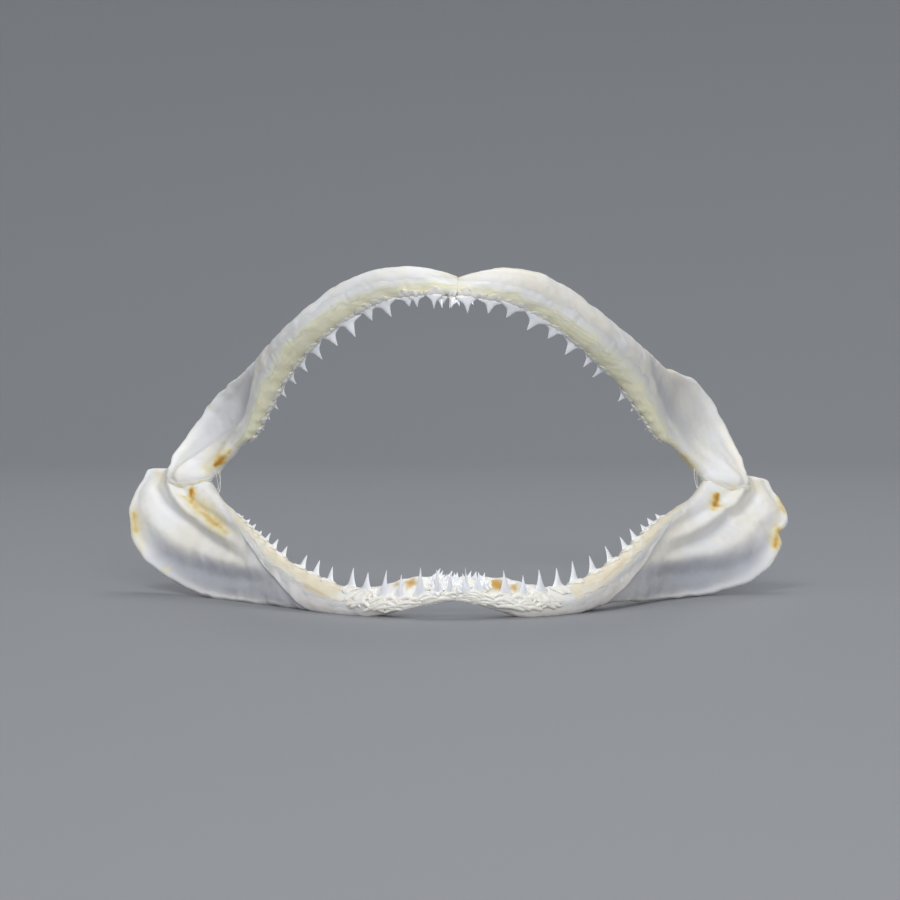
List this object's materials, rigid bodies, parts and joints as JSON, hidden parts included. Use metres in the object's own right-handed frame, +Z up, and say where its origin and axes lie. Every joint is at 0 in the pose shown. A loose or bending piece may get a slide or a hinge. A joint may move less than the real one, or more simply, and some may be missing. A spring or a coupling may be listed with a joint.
{
  "type": "shark jaw",
  "caption": "Dried jaws of a small requiem shark, open and standing on the lower jaw, with triangular upper teeth and slender lower teeth.",
  "frame": {"origin": "on the floor below the middle of the jaws' box, in the midline between the two halves", "axes": "+Z up, the mouth faces -Y, +X towards the animal's left side"},
  "size_m": [0.2048, 0.1092, 0.097],
  "materials": {
    "cartilage": "smooth dried calcified cartilage with a satin sheen",
    "gum_and_teeth": "dried yellowish gum carrying glossy enamelled teeth",
    "ligament": "dried translucent ligament, satin"
  },
  "bodies": {
    "root": {"upper_jaw_right": "cartilage", "upper_jaw_left": "cartilage", "lower_jaw_right": "cartilage", "lower_jaw_left": "cartilage", "upper_teeth_right": "gum_and_teeth", "upper_teeth_left": "gum_and_teeth", "lower_teeth_right": "gum_and_teeth", "lower_teeth_left": "gum_and_teeth", "joint_capsule_right": "ligament", "joint_capsule_left": "ligament"}
  },
  "joints": []
}
